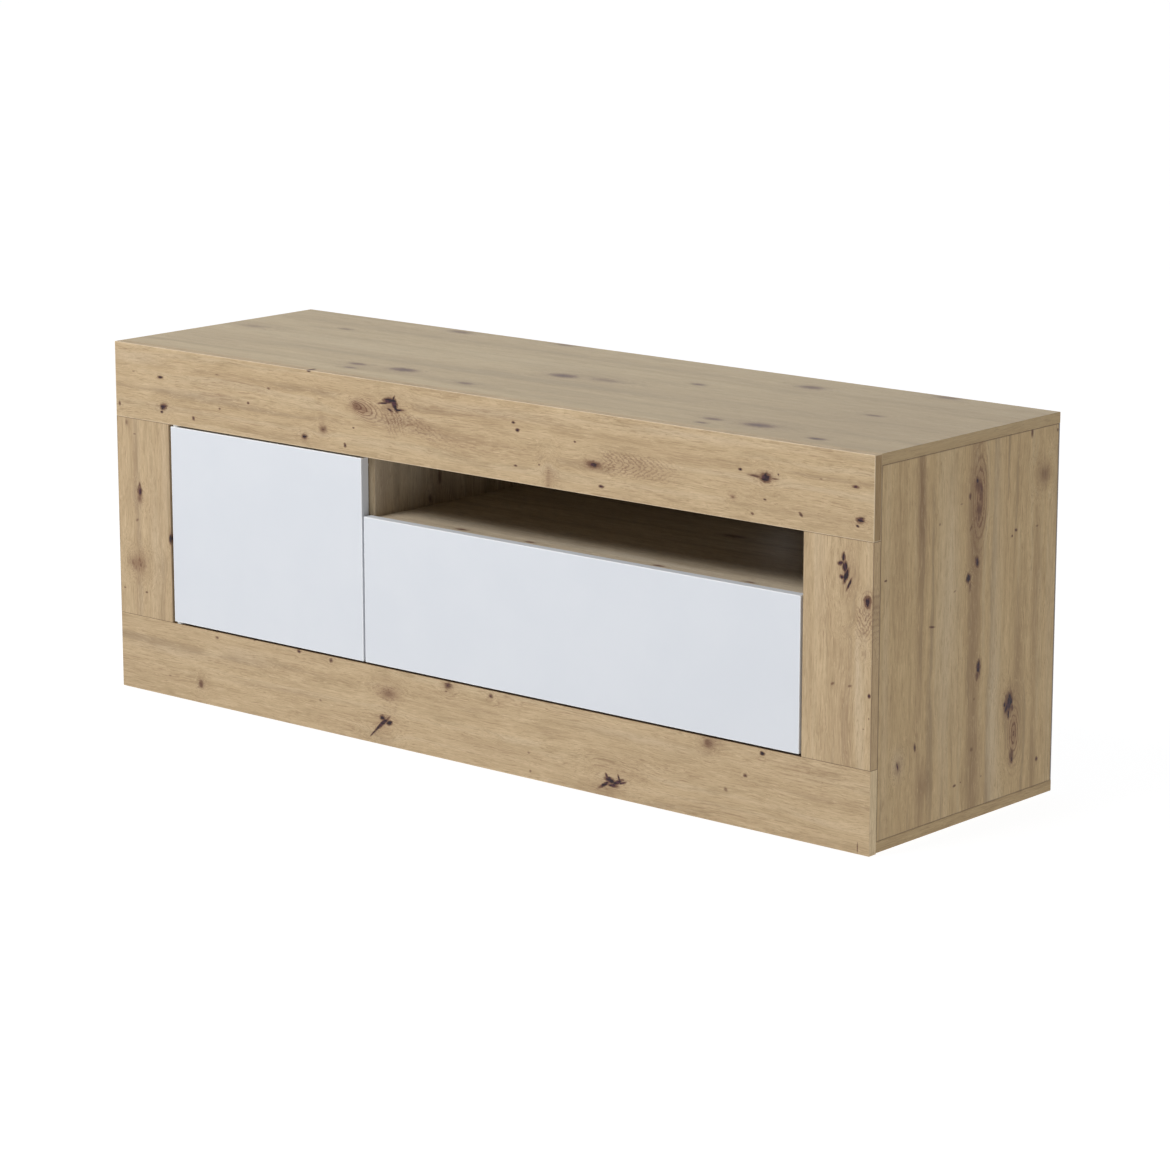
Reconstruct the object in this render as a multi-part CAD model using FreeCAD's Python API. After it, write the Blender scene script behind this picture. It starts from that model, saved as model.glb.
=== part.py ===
import FreeCAD, Part
import math
import os

# Low television stand. A carcass of 16 mm oak-faced board stands behind a face
# frame of two rails and two stiles. A white door on pivot pins closes the left
# cupboard, a white drop-down flap closes the low right compartment, and an open
# niche lies above the flap.
# Working axes while modelling: x from the left end, y from the front face
# backwards, z up from the floor. export() moves every piece so that the origin
# is the middle of the footprint at floor height.

V = FreeCAD.Vector

# ---------------------------------------------------------------- dimensions
W = 1500.0            # overall width
D = 443.0             # overall depth
H = 565.0             # overall height
T = 16.0              # board thickness
T_BACK = 3.0          # back panel
GLIDE_H = 4.0         # floor glides under the bottom panel
FRAME_Z0 = 2.5        # lower edge of the face frame
STILE_W = 120.0       # stile width
RAIL_H = 120.0        # top rail height
OPEN_Z0 = 124.0       # lower edge of the framed opening (top of the bottom rail)
OPEN_Z1 = H - RAIL_H  # upper edge of the framed opening
GAP_Z = 3.0           # gap above and below the fronts
GAP_X = 4.0           # gap beside the fronts
DOOR_X0, DOOR_X1 = STILE_W + GAP_X, 539.0
FLAP_X0, FLAP_X1 = DOOR_X1 + GAP_X, W - STILE_W - GAP_X
FRONT_Z0 = OPEN_Z0 + GAP_Z
DOOR_Z1 = OPEN_Z1 - GAP_Z
FLAP_Z1 = 353.0       # upper edge of the flap
R_FRONT = 1.0         # edge rounding on the white fronts
R_BOARD = 0.5         # edge rounding on the oak boards

SET_BACK = 17.5       # front edge of the inner boards, behind the fronts
INNER_Y1 = D - T_BACK # back edge of sides and inner boards
BASE_Z0 = 131.0       # raised cabinet floor
BASE_Z1 = BASE_Z0 + T
BASE_Y0 = 22.5        # leaves room for the heel of the flap as it drops
DIV_X0 = 535.0        # divider between cupboard and right-hand side
DIV_X1 = DIV_X0 + T
SHELF_Z1 = 350.5      # top of the niche floor
SHELF_Z0 = SHELF_Z1 - T
ADJ_Z0 = 290.0        # adjustable shelf in the cupboard
CABLE_R = 30.0        # cable holes in the back panel

DOOR_AXIS = (DOOR_X0 + 8.0, 8.0)          # x, y of the door's pivot pins
FLAP_AXIS = (8.0, FRONT_Z0 + 11.0)        # y, z of the flap's hinge pins
DOOR_OPEN = 100.0
FLAP_OPEN = 90.0
PIN_R = 3.0
PIN_CLEAR = 0.05      # radial running clearance of pins and pivots

CAM_R, CAM_DEPTH, CAM_BACK = 7.5, 12.5, 34.0
BOLT_R, BOLT_TIP_R, BOLT_IN = 3.4, 2.4, 10.0
DOWEL_R = 4.0
FIT = 0.1             # radial slack of a fastener in its drilled hole


# ------------------------------------------------------------------- helpers
def box(x0, x1, y0, y1, z0, z1):
    return Part.makeBox(x1 - x0, y1 - y0, z1 - z0, V(x0, y0, z0))


def board(x0, x1, y0, y1, z0, z1, r=R_BOARD):
    b = box(x0, x1, y0, y1, z0, z1)
    return b.makeFillet(r, b.Edges)


def cyl(r, p, d, length):
    return Part.makeCylinder(r, length, V(*p), V(*d))


def tube(ro, ri, p, d, length):
    p, d = V(*p), V(*d).normalize()
    return Part.makeCylinder(ro, length, p, d).cut(
        Part.makeCylinder(ri, length + 2, p - d, d))


def prism_x(points, x0, x1):
    """Flat plate between x0 and x1 with its outline given as (y, z) points."""
    w = Part.makePolygon([V(x0, y, z) for y, z in points + points[:1]])
    return Part.Face(w).extrude(V(x1 - x0, 0, 0))


def rot_x(y, z, deg, centre):
    a = math.radians(deg)
    dy, dz = y - centre[0], z - centre[1]
    return (centre[0] + dy * math.cos(a) - dz * math.sin(a),
            centre[1] + dy * math.sin(a) + dz * math.cos(a))


nodes = {}            # name -> list of solids
cuts = {}             # name of a board -> list of tools to remove from it


def add(name, *shapes):
    nodes.setdefault(name, []).extend(shapes)


def drill(name, *tools):
    cuts.setdefault(name, []).extend(tools)


def screw(name, boards, p, d, length, head_r=3.5, head_t=1.6, r=1.75):
    """Flat-headed screw: head face at p, pointing along d into the boards."""
    p, d = V(*p), V(*d).normalize()
    s = Part.makeCone(head_r, r, head_t, p, d).fuse(
        Part.makeCylinder(r, length - 2.0, p, d)).fuse(
        Part.makeCone(r, 0.5, 2.0, p + d * (length - 2.0), d))
    s = s.cut(Part.makeBox(head_r * 1.2, 0.8, 0.8,
                           V(-head_r * 0.6, -0.4, 0)).fuse(
        Part.makeBox(0.8, head_r * 1.2, 0.8, V(-0.4, -head_r * 0.6, 0)))
        .transformGeometry(FreeCAD.Placement(
            p, FreeCAD.Rotation(V(0, 0, 1), d)).toMatrix()))
    add(name, s)
    tool = Part.makeCone(head_r + 0.1, r + 0.1, head_t, p, d).fuse(
        Part.makeCylinder(r + 0.1, length + 0.5, p, d))
    for b in boards:
        drill(b, tool)


def confirmat(name, boards, p, d, length=46.0):
    """Stepped connecting screw for board edges."""
    p, d = V(*p), V(*d).normalize()

    def body(slack):
        return Part.makeCylinder(4.9 + slack, 3.5, p, d).fuse(
            Part.makeCylinder(3.4 + slack, T, p, d)).fuse(
            Part.makeCylinder(2.4 + slack, length + 4 * slack, p, d))
    hexa = Part.makeCylinder(2.0, 2.5, p, d)
    add(name, body(0.0).cut(hexa))
    for b in boards:
        drill(b, body(FIT))


def dowel(name, boards, p, d, length):
    p, d = V(*p), V(*d).normalize()
    c = Part.makeCylinder(DOWEL_R, length, p, d)
    add(name, c.makeChamfer(0.8, [e for e in c.Edges if e.isClosed() and
                                  abs(e.Length - 2 * math.pi * DOWEL_R) < 1e-3]))
    for b in boards:
        drill(b, Part.makeCylinder(DOWEL_R + FIT, length + 1.0,
                                   p - d * 0.5, d))


def cam(board_name, mate, face, into, end, out):
    """Cam and bolt. face: cam centre on the drilled face, into: drilling
    direction, end: bolt axis at the board's end, out: towards the mate."""
    f, i = V(*face), V(*into)
    c = Part.makeCylinder(CAM_R - 0.05, CAM_DEPTH, f, i)
    slot = Part.makeCylinder(2.6, 2.0, f, i)
    add("cam_locks", c.cut(slot))
    drill(board_name, Part.makeCylinder(CAM_R + 0.05, CAM_DEPTH + 0.3, f, i))
    e, o = V(*end), V(*out)
    reach = CAM_BACK - CAM_R - 0.2
    add("cam_bolts", Part.makeCylinder(BOLT_R, reach, e - o * reach, o).fuse(
        Part.makeCylinder(BOLT_TIP_R, BOLT_IN, e, o)))
    drill(board_name, Part.makeCylinder(BOLT_R + FIT, CAM_BACK, e - o * CAM_BACK, o))
    drill(mate, Part.makeCylinder(BOLT_TIP_R + FIT, BOLT_IN + 0.5, e, o))


# --------------------------------------------------------------- the boards
add("top_panel", board(0, W, T, D, H - T, H))
add("bottom_panel", board(0, W, T, D, GLIDE_H, GLIDE_H + T))
BOT = GLIDE_H + T
add("side_panel_left", board(0, T, T, INNER_Y1, BOT, H - T))
add("side_panel_right", board(W - T, W, T, INNER_Y1, BOT, H - T))
add("back_panel", board(0.5, W - 0.5, INNER_Y1, D, BOT, H - T, 0.3))
add("front_rail_top", board(0, W, 0, T, OPEN_Z1, H))
add("front_rail_bottom", board(0, W, 0, T, FRAME_Z0, OPEN_Z0))
add("front_stile_left", board(0, STILE_W, 0, T, OPEN_Z0, OPEN_Z1))
add("front_stile_right", board(W - STILE_W, W, 0, T, OPEN_Z0, OPEN_Z1))
add("cabinet_floor", board(T, W - T, BASE_Y0, INNER_Y1, BASE_Z0, BASE_Z1))
add("divider", board(DIV_X0, DIV_X1, SET_BACK, INNER_Y1, BASE_Z1, H - T))
add("plinth_ribs",
    board(DIV_X0, DIV_X1, 60, 430, BOT, BASE_Z0),
    board(1009, 1025, 60, 430, BOT, BASE_Z0))
add("niche_shelf", board(DIV_X1, W - T, SET_BACK, INNER_Y1, SHELF_Z0, SHELF_Z1))
add("cupboard_shelf", board(T + 1.5, DIV_X0 - 1.5, 40, 430, ADJ_Z0, ADJ_Z0 + T))
door = board(DOOR_X0, DOOR_X1, 0, T, FRONT_Z0, DOOR_Z1, R_FRONT)
flap = board(FLAP_X0, FLAP_X1, 0, T, FRONT_Z0, FLAP_Z1, R_FRONT)
add("door_panel", door)
add("flap_panel", flap)

# cable holes through the back panel, one to the niche, one to the flap space
CABLE = [(1000.0, 430.0), (1000.0, 240.0)]
for cx, cz in CABLE:
    drill("back_panel", cyl(CABLE_R, (cx, INNER_Y1 - 5, cz), (0, 1, 0), 20))

# --------------------------------------------------- connectors in the boards
for y in (90.0, 380.0):
    zc = H - T - CAM_BACK
    cam("side_panel_left", "top_panel", (T, y, zc), (-1, 0, 0),
        (T / 2, y, H - T), (0, 0, 1))
    cam("side_panel_right", "top_panel", (W - T, y, zc), (1, 0, 0),
        (W - T / 2, y, H - T), (0, 0, 1))
    cam("divider", "top_panel", (DIV_X0, y, zc), (1, 0, 0),
        (DIV_X0 + T / 2, y, H - T), (0, 0, 1))
    cam("cabinet_floor", "side_panel_left", (T + CAM_BACK, y, BASE_Z0), (0, 0, 1),
        (T, y, BASE_Z0 + T / 2), (-1, 0, 0))
    cam("cabinet_floor", "side_panel_right", (W - T - CAM_BACK, y, BASE_Z0),
        (0, 0, 1), (W - T, y, BASE_Z0 + T / 2), (1, 0, 0))
    cam("niche_shelf", "divider", (DIV_X1 + CAM_BACK, y, SHELF_Z0), (0, 0, 1),
        (DIV_X1, y, SHELF_Z0 + T / 2), (-1, 0, 0))
    cam("niche_shelf", "side_panel_right", (W - T - CAM_BACK, y, SHELF_Z0),
        (0, 0, 1), (W - T, y, SHELF_Z0 + T / 2), (1, 0, 0))

for y in (50.0, 415.0):
    for b, x in (("side_panel_left", T / 2), ("side_panel_right", W - T / 2),
                 ("divider", DIV_X0 + T / 2)):
        dowel("carcass_dowels", [b, "top_panel"], (x, y, H - T - 20), (0, 0, 1), 30)
for y in (150.0, 320.0):
    dowel("carcass_dowels", ["cabinet_floor", "side_panel_left"],
          (T - 10, y, BASE_Z0 + T / 2), (1, 0, 0), 30)
    dowel("carcass_dowels", ["cabinet_floor", "side_panel_right"],
          (W - T - 20, y, BASE_Z0 + T / 2), (1, 0, 0), 30)
    dowel("carcass_dowels", ["niche_shelf", "divider"],
          (DIV_X1 - 10, y, SHELF_Z0 + T / 2), (1, 0, 0), 30)
    dowel("carcass_dowels", ["niche_shelf", "side_panel_right"],
          (W - T - 20, y, SHELF_Z0 + T / 2), (1, 0, 0), 30)

for x in (30.0, 90.0):
    for xx, s in ((x, "front_stile_left"), (W - x, "front_stile_right")):
        dowel("frame_dowels", [s, "front_rail_bottom"],
              (xx, T / 2, OPEN_Z0 - 20), (0, 0, 1), 40)
        dowel("frame_dowels", [s, "front_rail_top"],
              (xx, T / 2, OPEN_Z1 - 20), (0, 0, 1), 40)

for y in (70.0, 230.0, 390.0):
    confirmat("bottom_screws", ["bottom_panel", "side_panel_left"],
              (T / 2, y, GLIDE_H), (0, 0, 1))
    confirmat("bottom_screws", ["bottom_panel", "side_panel_right"],
              (W - T / 2, y, GLIDE_H), (0, 0, 1))
    confirmat("divider_screws", ["cabinet_floor", "divider"],
              (DIV_X0 + T / 2, y, BASE_Z0), (0, 0, 1))
for y in (120.0, 340.0):
    for x in (DIV_X0 + T / 2, 1017.0):
        confirmat("bottom_screws", ["bottom_panel", "plinth_ribs"],
                  (x, y, GLIDE_H), (0, 0, 1))
# the divider's screws start under the cabinet floor, over the first rib
for y in (70.0, 230.0, 390.0):
    drill("plinth_ribs", cyl(6.0, (DIV_X0 + T / 2, y, BASE_Z0 - 4), (0, 0, 1), 5))

# angle brackets that hold the face frame on the carcass
LEG, LT, LW = 25.0, 2.0, 18.0


def angle(corner, a, b, w):
    """L bracket in the corner, legs along unit vectors a and b, width along w."""
    c, a, b, w = V(*corner), V(*a), V(*b), V(*w)

    def slab(u, v):
        p = c - w * (LW / 2)
        f = Part.Face(Part.makePolygon([p, p + u * LEG, p + u * LEG + v * LT,
                                        p + v * LT, p]))
        return f.extrude(w * LW)
    s = slab(a, b).fuse(slab(b, a)).removeSplitter()
    for u, v in ((a, b), (b, a)):
        hole = Part.makeCone(3.6, 1.85, 1.6, c + u * 16 + v * LT, v * -1).fuse(
            Part.makeCylinder(1.85, 8, c + u * 16 + v * 4, v * -1))
        s = s.cut(hole)
    add("frame_brackets", s)


def angle_screws(corner, a, b, board_a, board_b):
    """board_a is behind leg a, board_b behind leg b."""
    c, a, b = V(*corner), V(*a), V(*b)
    for u, v, name in ((a, b, board_a), (b, a, board_b)):
        p = c + u * 16 + v * LT
        screw("bracket_screws", [name], tuple(p), tuple(v * -1), 14.0,
              head_r=3.4)


for x in (200.0, 800.0, 1300.0):
    angle((x, T, H - T), (0, 1, 0), (0, 0, -1), (1, 0, 0))
    angle_screws((x, T, H - T), (0, 1, 0), (0, 0, -1), "top_panel", "front_rail_top")
    angle((x, T, BOT), (0, 1, 0), (0, 0, 1), (1, 0, 0))
    angle_screws((x, T, BOT), (0, 1, 0), (0, 0, 1), "bottom_panel", "front_rail_bottom")
for z in (230.0, 410.0):
    angle((T, T, z), (0, 1, 0), (1, 0, 0), (0, 0, 1))
    angle_screws((T, T, z), (0, 1, 0), (1, 0, 0), "side_panel_left", "front_stile_left")
    angle((W - T, T, z), (0, 1, 0), (-1, 0, 0), (0, 0, 1))
    angle_screws((W - T, T, z), (0, 1, 0), (-1, 0, 0), "side_panel_right",
                 "front_stile_right")

# back panel screws
back = [(T / 2, z, "side_panel_left") for z in (60, 200, 340, 480)]
back += [(W - T / 2, z, "side_panel_right") for z in (60, 200, 300, 480)]
back += [(DIV_X0 + T / 2, z, "divider") for z in (220, 470)]
back += [(x, BASE_Z0 + T / 2, "cabinet_floor") for x in (280, 800, 1240)]
back += [(x, SHELF_Z0 + T / 2, "niche_shelf") for x in (760, 1240)]
for x, z, b in back:
    screw("back_screws", ["back_panel", b], (x, D, z), (0, -1, 0), 18.0,
          head_r=3.0, head_t=1.5, r=1.5)

# shelf pins and the second row of holes that lets the shelf move
for y in (85.0, 385.0):
    zc = ADJ_Z0 - 2.6
    for x, d, b in ((T, -1, "side_panel_left"), (DIV_X0, 1, "divider")):
        add("shelf_pins", cyl(2.5, (x - d * 9, y, zc), (d, 0, 0), 17.0).fuse(
            cyl(3.6, (x - d * 1.2, y, zc - 0.0), (d, 0, 0), 1.2)))
        for dz in (-64, -32, 0, 32, 64):
            drill(b, cyl(2.6, (x + d * -1, y, zc + dz), (d, 0, 0), 9.5))

# floor glides
for x in (60.0, 750.0, 1440.0):
    for y in (50.0, 410.0):
        pad = Part.makeCylinder(12.0, GLIDE_H, V(x, y, 0))
        pad = pad.makeFillet(1.5, [e for e in pad.Edges if e.isClosed()
                                   and abs(e.BoundBox.ZMax) < 1e-6])
        add("floor_glides", pad.fuse(cyl(1.5, (x, y, GLIDE_H - 0.5), (0, 0, 1), 10.5)))
        drill("bottom_panel", cyl(1.6, (x, y, GLIDE_H - 1), (0, 0, 1), 11.5))

# ---------------------------------------------------------------- the door
ax, ay = DOOR_AXIS
for z_edge, s, rail in ((FRONT_Z0, 1, "front_rail_bottom"),
                        (DOOR_Z1, -1, "front_rail_top")):
    rail_z = z_edge - s * GAP_Z
    pin = cyl(PIN_R, (ax, ay, z_edge + s * 20), (0, 0, -s), 31.0)
    add("door_pivot_pins", pin.makeChamfer(0.5, [e for e in pin.Edges if e.isClosed()]))
    drill("door_panel", cyl(PIN_R + 0.02, (ax, ay, z_edge + s * 20.5), (0, 0, -s), 30))
    bush = tube(5.0, PIN_R + PIN_CLEAR, (ax, ay, rail_z), (0, 0, -s), 9.0)
    flange = tube(7.0, PIN_R + PIN_CLEAR, (ax, ay, rail_z), (0, 0, s), GAP_Z - 0.3)
    add("door_pivot_bushes", bush.fuse(flange))
    drill(rail, cyl(5.02, (ax, ay, rail_z + s), (0, 0, -s), 10.02))
add("door_bumpers", *[cyl(2.6, (DOOR_X1 - 3.2, T, z), (0, 1, 0), 1.1)
                      for z in (FRONT_Z0 + 30, DOOR_Z1 - 12)])

# ----------------------------------------------------------------- the flap
fy, fz = FLAP_AXIS
HINGE_X = (640.0, 960.0, 1280.0)
for hx in HINGE_X:
    blade = prism_x([(fy, fz - 4.6), (17.0, fz - 4.6), (21.5, fz), (21.5, BASE_Z1),
                     (62.0, BASE_Z1), (62.0, BASE_Z1 + 5), (56.0, BASE_Z1 + 8),
                     (22.0, BASE_Z1 + 9), (16.8, BASE_Z1 + 3), (16.8, fz + 4.6),
                     (fy, fz + 4.6)], hx - 1.5, hx + 1.5)
    blade = blade.fuse(cyl(4.6, (hx - 1.5, fy, fz), (1, 0, 0), 3.0))
    foot = box(hx - 12, hx + 12, 26, 66, BASE_Z1, BASE_Z1 + 2)
    foot = foot.makeFillet(3.0, [e for e in foot.Edges
                                 if abs(e.BoundBox.ZLength - 2) < 1e-6])
    bracket = blade.fuse(foot).removeSplitter()
    bracket = bracket.cut(cyl(2.0 + PIN_CLEAR, (hx - 5, fy, fz), (1, 0, 0), 10))
    for sx, sy in ((-7.5, 34), (7.5, 34), (-7.5, 58), (7.5, 58)):
        p = (hx + sx, sy, BASE_Z1 + 2)
        bracket = bracket.cut(Part.makeCone(3.2, 1.85, 1.5, V(*p), V(0, 0, -1)).fuse(
            cyl(1.85, p, (0, 0, -1), 5)))
        screw("flap_hinge_screws", ["cabinet_floor"], p, (0, 0, -1), 14.0,
              head_r=3.0, head_t=1.4)
    add("flap_hinge_brackets", bracket)
    pin = cyl(2.0, (hx - 12, fy, fz), (1, 0, 0), 24.0)
    add("flap_hinge_pins", pin.makeChamfer(0.4, [e for e in pin.Edges if e.isClosed()]))
    drill("flap_panel", box(hx - 2.2, hx + 2.2, fy - 5.1, T + 5, FRONT_Z0 - 5, fz + 5.1),
          cyl(2.02, (hx - 12.2, fy, fz), (1, 0, 0), 24.4))
add("flap_bumpers", *[cyl(4.0, (x, T, SHELF_Z0 + 8), (0, 1, 0), 1.1)
                      for x in (FLAP_X0 + 20, FLAP_X1 - 20)])

# folding stays: bracket under the niche shelf, two arms, bracket on the flap
STAY_S = (110.0, 320.0)                    # pivot under the shelf, y and z
STAY_F = (24.0, FRONT_Z0 + 110.0)          # pivot on the flap, closed
STAY_F1 = rot_x(*STAY_F, FLAP_OPEN, FLAP_AXIS)
ARM = 0.5 * math.dist(STAY_S, STAY_F1) + 0.02
mid = [(a + b) / 2 for a, b in zip(STAY_S, STAY_F)]
half = math.dist(STAY_S, STAY_F) / 2
ux, uz = (STAY_S[0] - STAY_F[0]) / (2 * half), (STAY_S[1] - STAY_F[1]) / (2 * half)
lift = math.sqrt(ARM * ARM - half * half)
ELBOW = (mid[0] + uz * lift, mid[1] - ux * lift)
ARM_W, ARM_T = 6.0, 2.0


def arm_plate(p, q, x0, x1, holes):
    """Flat bar with round ends between pivots p and q, given as (y, z)."""
    dy, dz = q[0] - p[0], q[1] - p[1]
    n = math.hypot(dy, dz)
    ny, nz = -dz / n * ARM_W, dy / n * ARM_W
    s = prism_x([(p[0] + ny, p[1] + nz), (q[0] + ny, q[1] + nz),
                 (q[0] - ny, q[1] - nz), (p[0] - ny, p[1] - nz)], x0, x1)
    for c in (p, q):
        s = s.fuse(cyl(ARM_W, (x0, c[0], c[1]), (1, 0, 0), x1 - x0))
    s = s.removeSplitter()
    for c, r in holes:
        s = s.cut(cyl(r, (x0 - 1, c[0], c[1]), (1, 0, 0), x1 - x0 + 2))
    return s


def stay(m):
    """m maps a distance from the flap's left end to x; one call per end."""
    def span(a, b):
        return min(m(a), m(b)), max(m(a), m(b))

    def disc(r, c, a, b):
        x0, x1 = span(a, b)
        return cyl(r, (x0, c[0], c[1]), (1, 0, 0), x1 - x0)
    # shelf bracket with its pivot rivet
    x0, x1 = span(19.0, 21.0)
    ear = prism_x([(STAY_S[0] - 9, SHELF_Z0), (STAY_S[0] - 7, STAY_S[1] - 4),
                   (STAY_S[0] - 4, STAY_S[1] - 7), (STAY_S[0] + 4, STAY_S[1] - 7),
                   (STAY_S[0] + 7, STAY_S[1] - 4), (STAY_S[0] + 9, SHELF_Z0)], x0, x1)
    p0, p1 = span(1.0 + 9.0, 21.0)
    plate = box(p0, p1, STAY_S[0] - 22, STAY_S[0] + 22, SHELF_Z0 - 2, SHELF_Z0)
    b = ear.fuse(plate).removeSplitter()
    b = b.cut(disc(3.0, STAY_S, 15.0, 25.0))
    for sy in (-11, 13):
        p = (m(14.5), STAY_S[0] + sy, SHELF_Z0 - 2)
        b = b.cut(Part.makeCone(3.1, 1.85, 1.4, V(*p), V(0, 0, 1)).fuse(
            cyl(1.85, p, (0, 0, 1), 4)))
        screw("stay_shelf_screws", ["niche_shelf"], p, (0, 0, 1), 14.0,
              head_r=2.9, head_t=1.3)
    add("stay_shelf_brackets", b)
    add("stay_shelf_rivets", disc(5.0, STAY_S, 17.6, 19.0).fuse(
        disc(2.98, STAY_S, 19.0, 24.0)).fuse(disc(5.0, STAY_S, 23.6, 24.6)))
    # arms
    x0, x1 = span(21.4, 23.4)
    up = arm_plate(STAY_S, ELBOW, x0, x1, [(STAY_S, 3.05)])
    add("stay_upper_arms", up.fuse(disc(5.0, ELBOW, 20.0, 21.4)))
    x0, x1 = span(23.8, 25.8)
    low = arm_plate(STAY_F, ELBOW, x0, x1, [(STAY_F, 3.05)])
    add("stay_lower_arms", low.fuse(disc(5.0, ELBOW, 25.8, 27.2)))
    # flap bracket: foot on the flap's inner face, ear beside the lower arm
    x0, x1 = span(26.2, 28.2)
    ear = prism_x([(T, STAY_F[1] - 12), (STAY_F[0] - 3, STAY_F[1] - 8),
                   (STAY_F[0] + 4, STAY_F[1] - 7), (STAY_F[0] + 7, STAY_F[1] - 4),
                   (STAY_F[0] + 7, STAY_F[1] + 4), (STAY_F[0] + 4, STAY_F[1] + 7),
                   (STAY_F[0] - 3, STAY_F[1] + 8), (T, STAY_F[1] + 12)], x0, x1)
    p0, p1 = span(26.2, 41.0)
    plate = box(p0, p1, T, T + 2, STAY_F[1] - 22, STAY_F[1] + 22)
    b = ear.fuse(plate).removeSplitter().cut(disc(3.0, STAY_F, 20.0, 35.0))
    for sz in (-15, 15):
        p = (m(34.5), T + 2, STAY_F[1] + sz)
        b = b.cut(Part.makeCone(3.1, 1.85, 1.4, V(*p), V(0, -1, 0)).fuse(
            cyl(1.85, p, (0, -1, 0), 4)))
        screw("stay_flap_screws", ["flap_panel"], p, (0, -1, 0), 13.0,
              head_r=2.9, head_t=1.3)
    add("stay_flap_brackets", b)
    add("stay_flap_rivets", disc(4.6, STAY_F, 22.4, 23.6).fuse(
        disc(2.98, STAY_F, 23.6, 28.2)).fuse(disc(4.6, STAY_F, 28.2, 29.4)))


stay(lambda d: FLAP_X0 + d)
stay(lambda d: FLAP_X1 - d)


# --------------------------------------------------------- push-open latches
def latch(prefix, x, z, foot_dir, boards):
    """Latch body with its plunger along y; foot_dir points to the board."""
    y0, y1 = 22.0, 92.0
    hx, hz = (6.0, 7.0) if foot_dir[0] else (7.0, 6.0)
    h = box(x - hx, x + hx, y0, y1, z - hz, z + hz)
    h = h.makeFillet(1.5, [e for e in h.Edges if abs(e.BoundBox.YLength - 70) < 1e-6])
    h = h.cut(cyl(4.05, (x, y0 - 1, z), (0, 1, 0), 46.0))
    side = V(*foot_dir)
    for sy in (70.0, 86.0):
        c = V(x, sy, z) - side * 6.0
        h = h.cut(Part.makeCylinder(1.85, 30, c, side).fuse(
            Part.makeCone(3.3, 1.85, 1.6, c, side)))
        screw("latch_screws", boards, tuple(c), foot_dir, 24.0, head_r=3.1, head_t=1.5)
    add("latch_housings", h)
    pl = cyl(4.0, (x, 17.3, z), (0, 1, 0), 43.0)
    pl = pl.makeFillet(1.0, [e for e in pl.Edges if e.isClosed()
                             and abs(e.BoundBox.YMin - 17.3) < 1e-6])
    add(prefix + "_latch_plunger", pl)
    plate = cyl(8.0, (x, T, z), (0, 1, 0), 0.8)
    add(prefix + "_strike_plate", plate)


latch("door", DIV_X0 - 6.0, 408.0, (1, 0, 0), ["divider"])
latch("flap", 930.0, SHELF_Z0 - 6.0, (0, 0, 1), ["niche_shelf"])

# -------------------------------------------------------------------- export
for name, tools in cuts.items():
    done = []
    for s in nodes[name]:
        near = [t for t in tools if t.BoundBox.intersect(s.BoundBox)]
        done.append(s.cut(near) if near else s)
    nodes[name] = done

if __name__ == "__main__":
    os.makedirs("parts", exist_ok=True)
    shift = V(-W / 2, -D / 2, 0)
    for name, shapes in nodes.items():
        solids = []
        for s in shapes:
            solids += s.Solids
        for s in solids:
            s.translate(shift)
        out = solids[0] if len(solids) == 1 else Part.makeCompound(solids)
        assert all(s.isValid() for s in solids), name
        out.exportStep("parts/" + name + ".step")
        print(name, len(solids), round(sum(s.Volume for s in solids)))
    a0 = math.degrees(math.atan2(ELBOW[1] - STAY_S[1], ELBOW[0] - STAY_S[0]))
    a1 = math.degrees(math.atan2(STAY_F1[1] - STAY_S[1], STAY_F1[0] - STAY_S[0]))
    b0 = math.degrees(math.atan2(ELBOW[1] - STAY_F[1], ELBOW[0] - STAY_F[0]))
    b1 = math.degrees(math.atan2(STAY_S[1] - STAY_F1[1], STAY_S[0] - STAY_F1[0])) - FLAP_OPEN
    print("stay: arm", ARM, "elbow", ELBOW, "upper arm turns", a1 - a0,
          "lower arm turns on the flap", b1 - b0)
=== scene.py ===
import bpy
import math
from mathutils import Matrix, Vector

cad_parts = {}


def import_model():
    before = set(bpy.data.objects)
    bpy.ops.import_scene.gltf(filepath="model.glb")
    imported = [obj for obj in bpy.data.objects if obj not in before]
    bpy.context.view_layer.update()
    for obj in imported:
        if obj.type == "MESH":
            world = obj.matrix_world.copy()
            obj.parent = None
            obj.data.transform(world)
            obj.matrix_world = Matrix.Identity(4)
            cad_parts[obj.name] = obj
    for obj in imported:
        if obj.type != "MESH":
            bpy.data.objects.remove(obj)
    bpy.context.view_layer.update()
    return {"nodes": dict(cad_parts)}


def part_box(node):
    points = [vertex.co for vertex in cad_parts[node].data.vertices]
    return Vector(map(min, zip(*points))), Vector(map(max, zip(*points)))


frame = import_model()
NODES = frame["nodes"]
scene = bpy.context.scene

# ------------------------------------------------------------------ camera
AZ, EL, DIST, LENS = 40.68, 12.58, 6.018, 121.94
TARGET = Vector((0.0440, 0.0, 0.2461))


def make_camera():
    a, e = math.radians(AZ), math.radians(EL)
    back = Vector((math.sin(a) * math.cos(e), -math.cos(a) * math.cos(e), math.sin(e)))
    data = bpy.data.cameras.new("camera")
    data.lens, data.sensor_width = LENS, 36.0
    data.clip_start, data.clip_end = 0.05, 300.0
    cam = bpy.data.objects.new("camera", data)
    cam.location = TARGET + back * DIST
    cam.rotation_mode = "QUATERNION"
    cam.rotation_quaternion = (-back).to_track_quat("-Z", "Y")
    scene.collection.objects.link(cam)
    scene.camera = cam


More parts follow.
